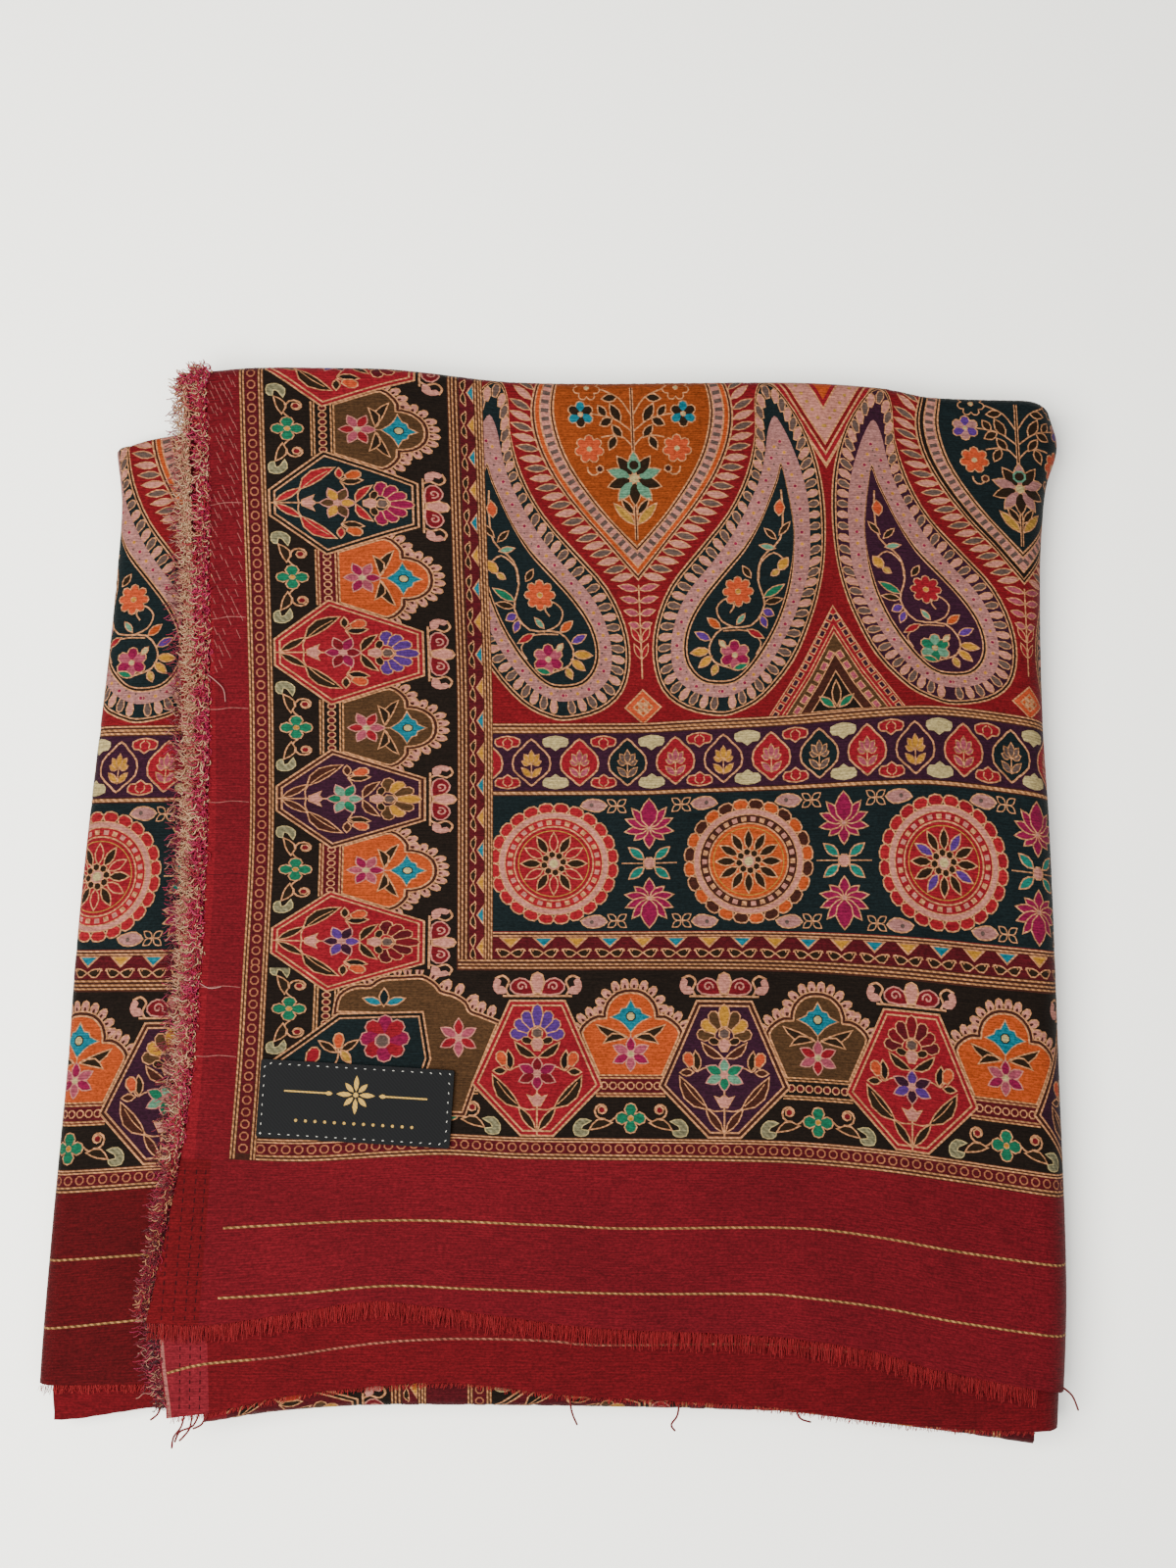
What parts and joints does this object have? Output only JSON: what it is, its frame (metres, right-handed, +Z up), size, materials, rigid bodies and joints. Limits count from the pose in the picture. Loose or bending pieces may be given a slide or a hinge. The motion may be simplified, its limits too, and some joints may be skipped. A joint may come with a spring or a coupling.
{
  "type": "folded kani shawl",
  "caption": "Long wool shawl with woven paisley and flower bands, folded flat into a rectangular stack with frayed selvedges and a plain black label.",
  "frame": {"origin": "centre of the bounding box on the table, under the middle of the folded stack", "axes": "+X to the right along the short side, +Y away from the open raw ends, +Z up from the table"},
  "size_m": [0.2697, 0.2819, 0.0182],
  "materials": {
    "shawl_right_side": "soft brushed pashmina twill, woven pattern in crimson, black, orange, teal and cream",
    "shawl_wrong_side": "wrong side of the twill, plain deep crimson",
    "shawl_layers": "stacked plies seen at their edges",
    "label_satin": "black satin-woven label",
    "fringe_yarn": "loose frayed yarn ends"
  },
  "bodies": {
    "root": {"top_panel": "shawl_right_side", "reverse_panel": "shawl_wrong_side", "end_fold": "shawl_right_side", "left_panel": "shawl_right_side", "left_reverse_panel": "shawl_wrong_side", "base_panel": "shawl_right_side", "hidden_layers": "shawl_layers", "label": "label_satin", "selvedge_fringe": "fringe_yarn", "reverse_selvedge_fringe": "fringe_yarn", "inner_selvedge_fringe": "fringe_yarn", "raw_end_fringe": "fringe_yarn", "reverse_raw_end_fringe": "fringe_yarn", "left_end_fringe": "fringe_yarn"}
  },
  "joints": []
}
